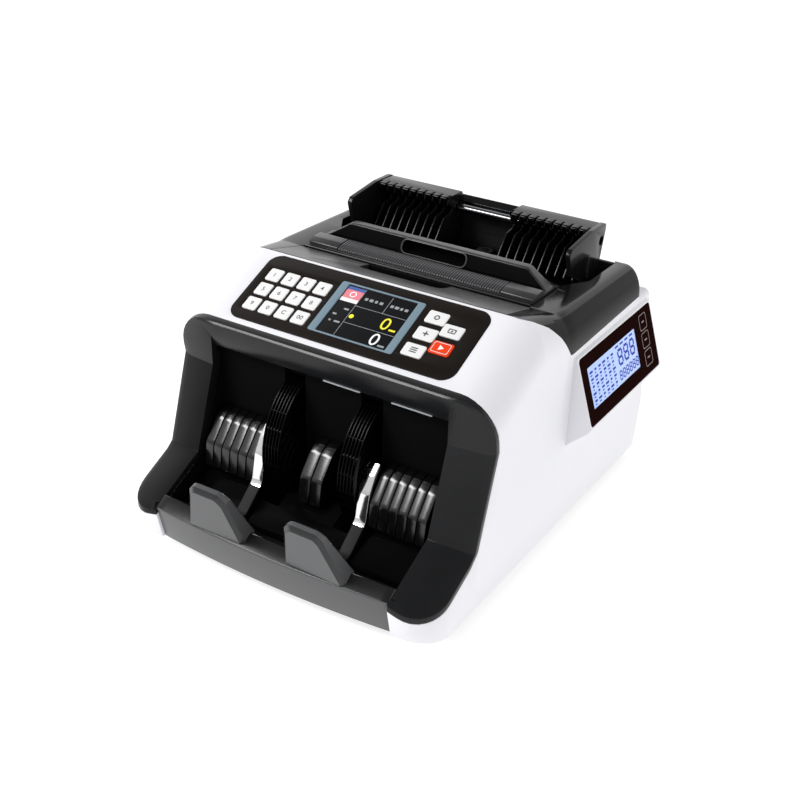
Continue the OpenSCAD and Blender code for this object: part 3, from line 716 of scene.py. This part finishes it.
def fan_wheel(side):
    """Fan wheel: hub, six thin rims and curved vanes between them."""
    lo, hi = side * FAN_MID - FAN_W / 2, side * FAN_MID + FAN_W / 2

    def turned(name, section):
        """A ring turned round the shaft from (radius, x) pairs."""
        return loft(name, [at_x(x, round_points(FAN_C, r, count=48)) for r, x in section],
                    closed=True)

    hub = [(SHAFT_R, lo), (HUB_R - 1, lo), (HUB_R, lo + 1), (HUB_R, hi - 1), (HUB_R - 1, hi),
           (SHAFT_R, hi)]
    pieces = [turned("hub", hub)]
    for i in range(VANES):
        start = 2 * pi * i / VANES
        outer, inner = [], []
        for k in range(13):
            t = k / 12
            a = start + 1.05 * t ** 1.25
            along, across = Vector((cos(a), sin(a))), Vector((-sin(a), cos(a)))
            middle = Vector(FAN_C) + along * (15 + 38.0 * t)
            thick = 0.48 - 0.2 * t
            outer.append(tuple(middle + across * thick))
            inner.append(tuple(middle - across * thick))
        pieces.append(prism("vane", outer + inner[::-1], lo, hi))
    for x in [lo + RIM_STEP * k for k in range(5)] + [hi - RIM_W]:
        near, far = FAN_R - 3.3, x + RIM_W
        pieces.append(turned("rim", [(near, x), (FAN_R, x), (FAN_R, far), (near, far)]))
    return join(f"fan_wheel_{'r' if side > 0 else 'l'}", pieces)


def fan_shroud(side):
    """Dark casing behind one fan wheel: an arched back and two cheeks clear of the shaft."""
    def wall(inner, lo, hi, outer=56.4, steps=24):
        angles = [radians(-50 + 162 * k / steps) for k in range(steps + 1)]
        path = [(outer, a) for a in angles] + [(inner, a) for a in reversed(angles)]
        outline = [(FAN_C[0] + r * cos(a), FAN_C[1] + r * sin(a)) for r, a in path]
        return prism("casing", outline, lo, hi)

    near, far = mirrored(side, 22.6, 39.0)
    return [wall(55.2, near, far), wall(19, near - 0.8, near), wall(19, far, far + 0.8)]


def fans():
    casing = join("fan_casing", fan_shroud(1) + fan_shroud(-1))
    # casing behind the wheels in deep black: painted shade
    finish(casing, PIT_SHADE, (), 0)
    finish(fan_wheel(1), FAN, ["fan_wheels"], 0.2, 1, body="stacker_rotor")
    finish(fan_wheel(-1), FAN, (), 0.2, 1, body="stacker_rotor")


# ------------ control panel
KEY_SIZE = 11.0
KEY_TOP = 1.05
KEY_COLUMNS = [-75.4 + 13.43 * c for c in range(4)]
KEY_ROWS = [70.7, 56.5, 42.3]
KEY_NAMES = [["1", "2", "3", "4"], ["5", "6", "7", "8"], ["9", "0", "c", "00"]]
FUN_W, FUN_H = 15.0, 10.4
FUN_KEYS = {"cf": (53.7, 73.6), "add": (53.6, 58.6), "mode": (53.1, 43.7), "cur": (69.0, 66.2),
            "start": (69.2, 51.2)}
SCREEN_C = (8.0, 58.85)


def key_cap(name, w, h, x, u, mat):
    """A soft-edged key cap with a slightly crowned top."""
    levels = [(0.0, -3.8), (0.0, 0.62), (0.08, 0.84), (0.26, 0.97), (0.5, 1.02), (1.2, 1.04)]
    rings = []
    for inset, z in levels:
        r = max(0.6, 1.25 - inset * 0.5)
        rings.append([(px, py, z) for px, py in rounded(w - 2 * inset, h - 2 * inset, r, x, u)])
    cap = loft("cap_" + name, rings)
    cap.data.transform(on_panel())
    finish(cap, mat, ["key_" + name], 0, body="b_key_" + name)


def bar(name, w, h, x, u, mat, body, slot, z=KEY_TOP, r=None, high=0.10):
    """A thin printed bar or dot."""
    outline = rounded(w, h, r or min(w, h) * 0.45, x, u, 4)
    tie(plate(name, [outline], z, z + high, 0.02, on_panel()), mat, body)


def outline_ring(name, w, h, line, x, u, mat, body, slot, z=KEY_TOP, r=0.6):
    """A thin printed frame or ring."""
    outlines = [rounded(w, h, r, x, u, 4),
                rounded(w - 2 * line, h - 2 * line, max(0.1, r - line), x, u, 4)]
    tie(plate(name, outlines, z, z + 0.1, 0.02, on_panel()), mat, body)


def control_panel():
    holes = [rounded(KEY_SIZE + 0.7, KEY_SIZE + 0.7, 1.5, x, u) for x in KEY_COLUMNS
             for u in KEY_ROWS]
    holes += [rounded(FUN_W + 0.7, FUN_H + 0.7, 1.5, x, u) for x, u in FUN_KEYS.values()]
    holes.append(rounded(62, 43, 1.5, *SCREEN_C))
    rim, outer, inner = [rounded(w, h, r, 0, PANEL_MID, 10) for w, h, r in (
        (176.4, 61.6, 10), (177.0, 62.2, 10.1), (175.6, 60.8, 9.6))]
    film = plate("control_overlay", [rim] + holes, -1.35, 0.42, 0.18, on_panel())
    finish(film, FILM, ["control_overlay"], 0)
    # narrow edge round the film, a little below its face
    seam = plate("overlay_seam", [outer, inner], -0.9, 0.28, 0.08, on_panel())
    finish(seam, BEZEL, (), 0)
    for u, names in zip(KEY_ROWS, KEY_NAMES):
        for x, name in zip(KEY_COLUMNS, names):
            key_cap(name, KEY_SIZE, KEY_SIZE, x, u, KEY_WHITE)
            mark = glyph("digit_" + name, name.upper(), 3.5, x, u, on_panel(KEY_TOP), 0.04, 0.03)
            tie(mark, INK_DARK, "b_key_" + name)
    for name, (x, u) in FUN_KEYS.items():
        red = name == "start"
        key_cap(name, FUN_W, FUN_H, x, u, KEY_RED if red else KEY_WHITE)
        body = "b_key_" + name
        dark = (INK_DARK, body, "black_bezel")
        if name == "cf":
            outline_ring("mark_cf", 4.0, 4.0, 0.8, x, u, *dark, r=2.0)
        if name == "add":
            bar("mark_add_h", 4.4, 0.9, x, u, *dark)
            bar("mark_add_v", 0.9, 4.4, x, u, *dark)
        if name == "mode":
            for k in (-1, 0, 1):
                bar(f"mark_mode_{k + 1}", 5.2, 0.8, x, u + 1.7 * k, *dark)
        if name == "cur":
            outline_ring("mark_cur", 5.6, 3.8, 0.7, x, u, *dark, r=0.7)
            bar("mark_cur_dot", 1.4, 1.4, x, u, *dark, r=0.69)
        if red:
            outline_ring("mark_start_rim", 12.2, 8.4, 0.35, x, u, INK_WHITE, body, "key_white",
                         r=1.4)
            tri = plate("mark_start", [[(x - 1.5, u - 2.2), (x + 2.2, u), (x - 1.5, u + 2.2)]],
                        KEY_TOP, KEY_TOP + 0.1, 0.02, on_panel())
            tie(tri, INK_WHITE, body)


def screen():
    x0, u0 = SCREEN_C
    outlines = [rounded(66, 47, 1.6, x0, u0), rounded(54.6, 44.4, 0.8, x0, u0)]
    surround = plate("screen_frame", outlines, -3.4, 0.85, 0.25, on_panel())
    finish(surround, FRAME_BLUE, ["screen_frame"], 0)
    glass = plate("screen_glass", [rounded(54.4, 44.2, 0.6, x0, u0)], -3.4, 0.10, 0.05, on_panel())
    finish(glass, SCREEN, ["screen_glass"], 0)
    z = 0.11

    def tick(name, w, h, x, u, mat=INK_GREY, r=0.4, lift=0.0):
        bar(name, w, h, x, u, mat, "frame", "screen", z + lift, r, 0.05)

    def line(name, ax, au, bx, bu, w=0.35):
        tick(name, max(abs(bx - ax), w), max(abs(bu - au), w), (ax + bx) / 2, (au + bu) / 2,
             r=w * 0.4)

    left, right = x0 - 26.6, x0 + 26.6
    low, high = u0 - 21.6, u0 + 21.6
    column, row_1, row_2 = x0 - 13.0, u0 + 6.2, u0 - 9.2
    line("grid_h_0", column, row_1, right, row_1)
    line("grid_h_1", column, row_2, right, row_2)
    line("grid_v_0", column, low, column, high)
    line("grid_v_1", x0 + 8.4, row_1, x0 + 8.4, high)
    # status tile, short bars in place of words, and the two counters
    tile_x, tile_w = (left + column) / 2, column - left
    tick("tile_pink", tile_w, 9.4, tile_x, u0 + 15.4, INK_PINK, 0.3)
    tick("tile_blue", tile_w, 2.8, tile_x, u0 + 19.8, INK_BLUE, 0.3, 0.06)
    tick("tile_white", tile_w, 3.4, tile_x, u0 + 9.3, INK_WHITE, 0.3)
    outline_ring("tile_ring", 5.2, 5.2, 0.8, tile_x, u0 + 14.7, INK_WHITE, "frame", "screen",
                 z + 0.06, 2.6)
    for k, w in enumerate((2.4, 3.0, 2.0, 2.6)):
        tick(f"word_0_{k}", w, 2.3, x0 - 8.6 + 3.9 * k, u0 + 13.9)
        tick(f"word_1_{k}", w, 2.3, x0 + 11.6 + 3.7 * k, u0 + 13.9)
    notes = ((-17.0, 1.4, 3.8), (-22.8, -4.6, 3.0), (-23.0, -10.6, 1.8), (-17.4, -10.6, 4.6))
    for k, (dx, du, w) in enumerate(notes):
        tick(f"note_{k}", w, 1.5, x0 + dx, u0 + du, r=0.5)
    tick("dot_yellow", 3.6, 3.6, x0 - 10.4, u0 - 3.0, INK_YELLOW, 1.79)
    counters = (("yellow", -1.2, INK_YELLOW, INK_YELLOW), ("white", -15.6, INK_WHITE, INK_GREY))
    for name, du, mat, unit in counters:
        mark = glyph("count_" + name, "0", 10.4, x0 + 15.6, u0 + du, on_panel(z), 0.03, 0.0)
        tie(mark, mat, "frame")
        tick("unit_" + name, 5.0, 1.5, x0 + 22.6, u0 + du - 4.0, unit)


# ------------ side display
POD_N = Vector((0.953, 0.303))
POD_A, POD_B = Vector((127.2, 139.6)), Vector((142.85, 90.4))
POD_Y = (19.0, 143.0)


def pod_place():
    """Local x to the rear along the wall, y down the face, z out of the face."""
    down = (POD_B - POD_A).normalized()
    origin = Vector((POD_A.x, POD_Y[0], POD_A.y)) * MM
    return Matrix(((0, down.x, POD_N.x, origin.x), (1, 0, 0, origin.y),
                   (0, down.y, POD_N.y, origin.z), (0, 0, 0, 1)))


def pod():
    face_len = (POD_B - POD_A).length
    section = fillet([(HALF - 0.4, 141.0), (POD_A.x, POD_A.y), (POD_B.x, POD_B.y),
                      (POD_B.x - 1.8, POD_B.y - 3.2), (HALF - 0.4, 72)],
                     [0.4, 1.4, 1.0, 1.4, 0.4], 4)
    body = prism("display_housing", section, POD_Y[0], POD_Y[1], "y")
    place = pod_place()
    width = POD_Y[1] - POD_Y[0]
    recess = prism("recess", rounded(width - 1.8, face_len - 1.8, 2.8, width / 2, face_len / 2),
                   -0.9, 6, "z")
    put(recess.data, place)
    cut(body, recess)
    hollow = [(HALF - 3, 130), (POD_A.x - 1.2, 132), (POD_B.x - 4.6, 95), (HALF - 3, 82)]
    cut(body, prism("hollow", hollow, 25, 137, "y"))
    finish(body, WHITE, ["pod_housing"])
    lcd_x, lcd_y = (10.4, 91.0), (10.6, 40.4)
    lcd_w, lcd_h = lcd_x[1] - lcd_x[0], lcd_y[1] - lcd_y[0]
    mid = (sum(lcd_x) / 2, sum(lcd_y) / 2)
    face = plate("display_face", [
        rounded(width - 2.2, face_len - 2.2, 2.6, width / 2, face_len / 2),
        rounded(lcd_w, lcd_h, 0.8, *mid)], -0.85, -0.02, 0.12, place)
    finish(face, POD_FACE, ["pod_bezel"], 0)
    glass = plate("display_lcd", [rounded(lcd_w + 0.4, lcd_h + 0.4, 0.8, *mid)], -1.2, -0.25, 0.05,
                  place)
    finish(glass, LCD, ["pod_lcd"], 0)

    parts = []

    def ink(x, y, w, h):
        """One dark mark on the glass, centred at (x, y) from the glass's corner."""
        outline = rounded(w, h, min(0.2, w * 0.45, h * 0.45), lcd_x[0] + x, lcd_y[0] + y, 3)
        parts.append(plate("s", [outline], -0.24, -0.18, 0.01, place))

    def digit(x, y, w, h, line):
        """A seven-segment digit, lit in full."""
        reach_x, reach_y = w / 2 - line / 2, h / 2 - line / 2
        for sy in (-1, 0, 1):
            ink(x, y + sy * reach_y, w - line * 1.5, line)
        for sx, sy in ((-1, -0.5), (1, -0.5), (-1, 0.5), (1, 0.5)):
            ink(x + sx * reach_x, y + sy * reach_y, line, h / 2 - line * 1.2)

    for k in range(3):
        digit(52 + k * 10.4, 11.0, 8.2, 12.4, 1.8)
    for k in range(6):
        digit(48.4 + k * 5.8, 23.8, 4.7, 7.2, 1.05)
    # rows of small bars in place of words
    for row in range(5):
        for col in range(6):
            w = 5.0 - 1.1 * ((row + 2 * col) % 3)
            ink(5.0 + col * 6.9, 4.6 + row * 5.2, w, 1.6)
            ink(4.4 + col * 6.9, 7.0 + row * 5.2, w * 0.6, 0.9)
    for k in range(4):
        ink(48.5 + k * 8.4, 2.4, 5.6, 1.3)
    tie(join("lcd_segments", parts), LCD_INK, "frame")
    # printed touch keys
    rings = []
    for k in range(3):
        cx, cy = 107.0, 11.2 + 13.8 * k
        for outlines in ([rounded(12.4, 12.0, 1.8, cx, cy), rounded(11.4, 11.0, 1.4, cx, cy)],
                         [rounded(4.4, 1.0, 0.4, cx, cy)]):
            rings.append(plate("t", outlines, -0.02, 0.03, 0.01, place))
    tie(join("touch_marks", rings), MARK, "frame")


# ------------ top strip and flap
def strip():
    front, rear = STRIP_Y + 0.15, 9.0
    body = slab("cover_strip", [(front, 180.9), (rear, 172.6), (rear, 162), (-4, 162), (-4, 172.3),
                                (front, 177.6)], [0.8, 1.2, 0.3, 0.3, 0.3, 0.3], 94.3)
    cut(body, prism("recess", rounded(68, 34, 6, 0, 9.4), 165, 190, "z"))
    finish(body, STRIP, ["strip_cap"])
    # floor and back wall of the recess in deep black: painted shade
    floor = slab("recess_floor", [(-8, 165.4), (rear, 163.8), (rear, 162.4), (-8, 162.4)], 0.3, 36)
    wall = prism("recess_rear", [(8.2, 163), (8.2, 172.3), (rear, 172.3), (rear, 163)], -34.6, 34.6)
    finish(join("recess_floor", [floor, wall]), PIT_SHADE, (), 0.15, 2)


HANDLE_W, HANDLE_Z = 52.0, 178.7
GRIP_HALF, GRIP_RIBS = 65.6, 66
HINGE_Y, HINGE_Z = 48.0, 166.5


def flap():
    pieces = [slab("flap_base", [(9.8, 171.9), (38, 173.6), (46, 173.8), (56, 171.8), (56, 168.2),
                                 (9.8, 169.4)], [1.0, 3, 3, 1.2, 0.6, 0.6], 92.5)]
    for y in (10.3, 13.6):
        rise = 0.06 * (y - 10)
        pieces.append(slab("step", [(y, 171.8 + rise), (y, 173.1 + rise), (y + 2.2, 173.3 + rise),
                                    (y + 2.2, 171.9)], 0.3, 92.3))
    finish(join("flap_steps", pieces), COVER, ["hopper_flap"], 0.35, 2, body="flap")
    # fine ribbed grip
    corners = [0.2, 1.2, 3, 1.6, 0.2]
    rib = fillet([(16.0, 172.4), (16.6, 174.8), (22, 176.4), (31, 177.0), (34, 172.6)], corners, 3)
    core = [(16.6, 172.4), (17.2, 174.2), (22, 175.8), (31, 176.4), (33.4, 172.6)]
    core = fillet(core, corners, 3)
    ribs = []
    for k in range(GRIP_RIBS):
        x = -GRIP_HALF + 2 * GRIP_HALF * k / (GRIP_RIBS - 1)
        ribs.append(prism("rib", rib, x - 0.66, x + 0.66))
    ribs.append(prism("core", core, -GRIP_HALF, GRIP_HALF))
    finish(join("flap_grip", ribs), GRIP, (), 0, body="flap")
    end = fillet([(16.2, 172.4), (16.4, 175.0), (22, 176.8), (31, 177.2), (34, 172.6)],
                 [0.2, 2.2, 4, 2.2, 0.2])
    bars = pair("bar", end, 67.2, 92.2)
    finish(join("flap_end_bars", bars), STRIP, (), 0.8, body="flap")
    # leaning wall with its sloped ends
    rings = []
    ends = [72, 74.5, 77, 80, 84, 88, 92.4]
    for x in [-x for x in reversed(ends)] + list(range(-64, 65, 8)) + ends:
        t = min(1.0, max(0.0, (abs(x) - 73.5) / 18.9))
        drop = t * 11.6 + (0.6 * (1 - (1 - min(1, t * 6)) ** 2) if t else 0)
        top = 185.0 - drop
        front = 43.0 - 5.0 * (185.0 - top) / 11.2
        section = fillet([(38.2, 172.6), (front, top), (front + 7.6 + 0.25 * (185 - top), top),
                          (55.6, 172.2), (55.0, 169)], [0.8, 2.2, 2.2, 0.8, 0.4], 4)
        rings.append(at_x(x, section))
    wall = loft("flap_wall", rings)
    cut(wall, prism("slot", rounded(HANDLE_W, 8.6, 3.6, 0, HANDLE_Z), 30, 64, "y"))
    finish(wall, WALL, (), 0.5, 3, 40, body="flap")
    # upward top faces of the wall get the lighter strip satin: painted highlight; the handle slot's
    # inner faces get the deep black: painted shade
    second_material(wall, STRIP, lambda poly: poly.normal.z > 0.55 and poly.center.z > 0.172)
    second_material(wall, PIT_SHADE, lambda poly: (abs(poly.center.x) < 0.0275 and poly.center.z < 0.1836
                                             and abs(poly.normal.y) < 0.9), 2)
    # dark back of the handle, a deep black plate in the slot as painted shade
    back = prism("handle_back", rounded(HANDLE_W + 0.6, 9.2, 3.9, 0, HANDLE_Z), 49.0, 50.2, "y")
    finish(back, PIT_SHADE, (), 0, body="flap")
    # raised rim round the handle slot
    lean = atan2(4.8, 11.2)
    place = (Matrix.Translation(Vector((0, 40.55, 178.75)) * MM)
             @ Matrix.Rotation(pi / 2 - lean, 4, "X"))
    outlines = [rounded(HANDLE_W + 2.8, 11.4, 4.8), rounded(HANDLE_W + 0.2, 9.2, 3.8)]
    rim = plate("handle_rim", outlines, -0.6, 1.0, 0.35, place)
    finish(rim, STRIP, (), 0, body="flap")
    lug = fillet([(44, 163.6), (52, 163.6), (52, 170), (44, 170)], 1.5)
    pins = pair("pin", round_points((HINGE_Y, HINGE_Z), 2.5, 15), 86, 98.4)
    pins += pair("lug", lug, 85, 92.6)
    finish(join("flap_pins", pins), COVER, (), 0, body="flap")


# ------------ hopper
GUIDE_IN, GUIDE_OUT = 26.0, 93.4      # a guide's inner and outer ends at rest
FINS, FIN_STEP, FIN_W = 10, 6.85, 1.1
WING_W = 3.6
BORE_R = 3.6                          # hole in each wing round the guide rod


def guide(side):
    """One sliding note guide: notched cap, fins, back plate and swept side wing."""
    whole = "right" if side > 0 else "left"
    body, tag = whole + "_guide", whole[0]

    def span(a, b):
        return mirrored(side, a, b)

    cap = prism("cap", fillet(
        [(105, 194.0), (102.8, 196.0), (104, 197.4), (124.4, 197.4), (128.3, 191.6), (128.3, 176),
         (124.6, 176), (124.6, 190.4)],
        [0.6, 0.9, 1.2, 2.0, 1.5, 0.3, 0.3, 3]), *span(GUIDE_IN, GUIDE_OUT - 3.0))
    places = [GUIDE_IN + FIN_STEP * k for k in range(FINS)]
    notches = [prism("notch", [(100, 190), (100, 199), (109.5, 199), (109.5, 190)],
                     *span(x + 0.2, x + 1.9)) for x in places]
    cut(cap, join("notches", notches))
    back = fillet([(122.2, 160.2), (122.2, 179.6), (124.6, 182), (128, 182), (128, 160.2)], 0.4)
    back = prism("plate", back, *span(GUIDE_IN + 0.2, GUIDE_OUT - 4.4))
    finish(join("guide_cap_" + tag, [cap, back]), COVER, ["guide_" + whole], 0.4, body=body)
    fin = fillet([(97, 160.4), (84, 163.4), (99.6, 182.4), (108, 183.6), (112.6, 186.4),
                  (104.6, 191.4), (105, 194.8), (106, 196.0), (123.5, 196.0), (122.6, 189.8),
                  (116.2, 188.6), (116.2, 182.6), (123.4, 181), (123.4, 160.3)],
                 [1, 2, 1.6, 2, 1.6, 1.4, 0.8, 0.3, 0.3, 0.3, 1, 1, 0.3, 0.3], 3)
    fins = [prism("fin", fin, *span(x + 0.4, x + 0.4 + FIN_W)) for x in places]
    finish(join("guide_fins_" + tag, fins), COVER, (), 0.3, 2, body=body)
    profile = fillet([(97, 160.2), (72.4, 172.6), (67.2, 190), (70.2, 193.6), (103, 197.9),
                      (128.0, 197.9), (118.5, 160.2)], [3, 3, 2.5, 2.5, 4, 4.5, 0.5])
    wing = prism("guide_wing_" + tag, profile, *span(GUIDE_OUT - WING_W, GUIDE_OUT))
    cut(wing, prism("bore", round_points(ROD_C, BORE_R, 12), *span(GUIDE_OUT - 8, GUIDE_OUT + 5)))
    finish(wing, COVER, (), 1.1, 4, body=body)
    # toothless rack under the floor, which meets the centring pinion
    y0, y1 = (124.7, 128) if side > 0 else (108, 111.3)
    rack = []
    for ends, top in ((span(26, 60), 160.3), (span(-28, 26), 157)):
        rack.append(block("rack", (ends[0], y0, 153.5), (ends[1], y1, top)))
    if side < 0:
        rack.append(block("web", (-40, 111, 157.5), (-28, 124, 160.3)))
    finish(join("guide_rack_" + tag, rack), COVER, (), 0.3, 2, body=body)


def hopper():
    front, rear, foot_z = 130.2, 133.8, DECK_Z + 0.3
    foot = slab("hopper_wall", [(front, foot_z), (front, 166), (rear, 166), (rear, foot_z)], 0.5,
                104.3)
    back = slab("hopper_wall", [(front, 165), (front, 187), (rear, 187), (rear, 165)], 0.3, 87.5)
    finish(join("hopper_back_wall", [foot, back]), MATTE, ["hopper_back"], 0.4, 2)
    bar_top = slab("bar", [(129.7, 184.6), (129.7, 187.4), (134.6, 191.6), (135.9, 190.6),
                           (135.9, 184.6)], [0.4, 1.0, 1.0, 1.0, 0.4], 87.5)
    finish(bar_top, COVER, (), 0.4)
    bracket = slab("rod_bracket", [(121.6, 180), (121.8, 184.0), (130.4, 186), (130.4, 180)],
                   [1.5, 0.8, 0.5, 0.5], 7.6)
    finish(bracket, COVER, (), 0.6)
    floor = slab("hopper_floor", [(62.6, 166.6), (96, 152), (129.8, 149.5), (129.8, 147.1),
                                  (95, 149.2), (62.6, 163.6)], [0.8, 14, 0.4, 0.3, 12, 0.5], 103.9)
    for s in (-1, 1):
        cut(floor, prism("slot", rounded(15, 28, 2, s * 24, 78.4), 140, 176, "z"))
    finish(floor, MATTE, ["hopper_floor"])
    seat = [(62.6, 163.4), (95, 149), (112, 148), (112, 143.1), (62.6, 143.1)]
    seats = pair("seat", seat, 99.3, 103.9)
    seats.append(prism("pin", round_points((0, 118), 3, 15), 150.6, 158, "z"))
    finish(join("floor_seats", seats), BEZEL, (), 0.3, 2)


def keep_cad():
    """Materials for the CAD pieces that are shown as they are."""
    looks = {
        BASE: "base_pan sensor_bar centering_pinion", BEZEL: "power_inlet gap_knob",
        BOARD: "keypad_board main_board", GLOSS: "rocker_switch", MATTE: "side_plates note_chute",
        # the stacker's back wall in deep black: painted shade
        MOTOR: "main_motor", NYLON: "motor_pulley", PIT_SHADE: "stacker_back", ROD: "cross_rods",
        RUBBER: "rubber_feet drive_belts feed_rollers pickup_roller",
        STEEL: "rear_panel housing_screws stacker_shaft feed_shaft", SUPPLY: "power_supply"}
    for mat, names in looks.items():
        for name in names.split():
            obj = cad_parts[name]
            obj.data.materials.clear()
            obj.data.materials.append(mat)
            smooth(obj, 30)


# ------------ build
white_housing()
black_cover()
front_frame()
lip()
paddle(1)
paddle(-1)
stacker()
fans()
control_panel()
screen()
pod()
strip()
flap()
guide(1)
guide(-1)
hopper()
keep_cad()


# ------------ studio
def studio():
    far = 9000
    corners = [(-far, -far, 0), (far, -far, 0), (far, far, 0), (-far, far, 0)]
    floor = mesh_object("studio_floor", corners, [(0, 1, 2, 3)])
    pale = material("pale_floor", (0.42, 0.42, 0.42), 0.7, 0.01, 40, 0.0, 0.0, emit=1.85)
    floor.data.materials.append(pale)
    world = bpy.data.worlds.new("studio")
    bpy.context.scene.world = world
    world.use_nodes = True
    tree = world.node_tree
    # bright walls, darker towards the ceiling and towards the front
    where = node(tree, "TexCoord").outputs["Generated"]
    axes = node(tree, "SeparateXYZ", {}, where, "Vector")
    ramp = node(tree, "ValToRGB", {}, axes.outputs["Z"], "Fac")
    stops = ramp.color_ramp.elements
    stops[0].position, stops[0].color = 0.0, (0.80, 0.80, 0.80, 1)
    stops[1].position, stops[1].color = 1.0, (0.22, 0.22, 0.22, 1)
    for place, level in ((0.25, 0.95), (0.50, 1.0), (0.72, 0.34)):
        stop = stops.new(place)
        stop.color = (level, level, level, 1)
    depth = node(tree, "Math", {1: 0.55, 2: 1.15}, axes.outputs["Y"], 0)
    depth.operation = "MULTIPLY_ADD"
    backdrop = tree.nodes["Background"].inputs
    tree.links.new(ramp.outputs["Color"], backdrop["Color"])
    tree.links.new(depth.outputs["Value"], backdrop["Strength"])

    def softbox(name, place, target, size, power):
        light = bpy.data.lights.new(name, "AREA")
        light.shape = "RECTANGLE"
        light.size, light.size_y = size
        light.energy = power
        obj = add(name, light)
        obj.location = place
        aim = Vector(target) - Vector(place)
        obj.rotation_euler = aim.to_track_quat("-Z", "Y").to_euler()

    softbox("key_light", (-0.78, -0.95, 1.22), (0, -0.05, 0.08), (0.75, 0.42), 18)
    softbox("side_light", (1.9, -0.2, 0.8), (0, 0, 0.1), (0.9, 1.2), 0.8)


def camera():
    azimuth, elevation, roll = (radians(a) for a in (31.47, 28.21, 1.96))
    turn = (Matrix.Rotation(azimuth, 4, "Z") @ Matrix.Rotation(pi / 2 - elevation, 4, "X")
            @ Matrix.Rotation(roll, 4, "Z"))
    data = bpy.data.cameras.new("camera")
    data.sensor_width = 36.0
    data.lens = 55.78
    data.clip_start = 0.01
    data.clip_end = 50
    obj = add("camera", data)
    obj.matrix_world = Matrix.Translation((0.4156, -0.6779, 0.5042)) @ turn
    bpy.context.scene.camera = obj


studio()
camera()
bpy.context.scene.view_settings.view_transform = "Standard"
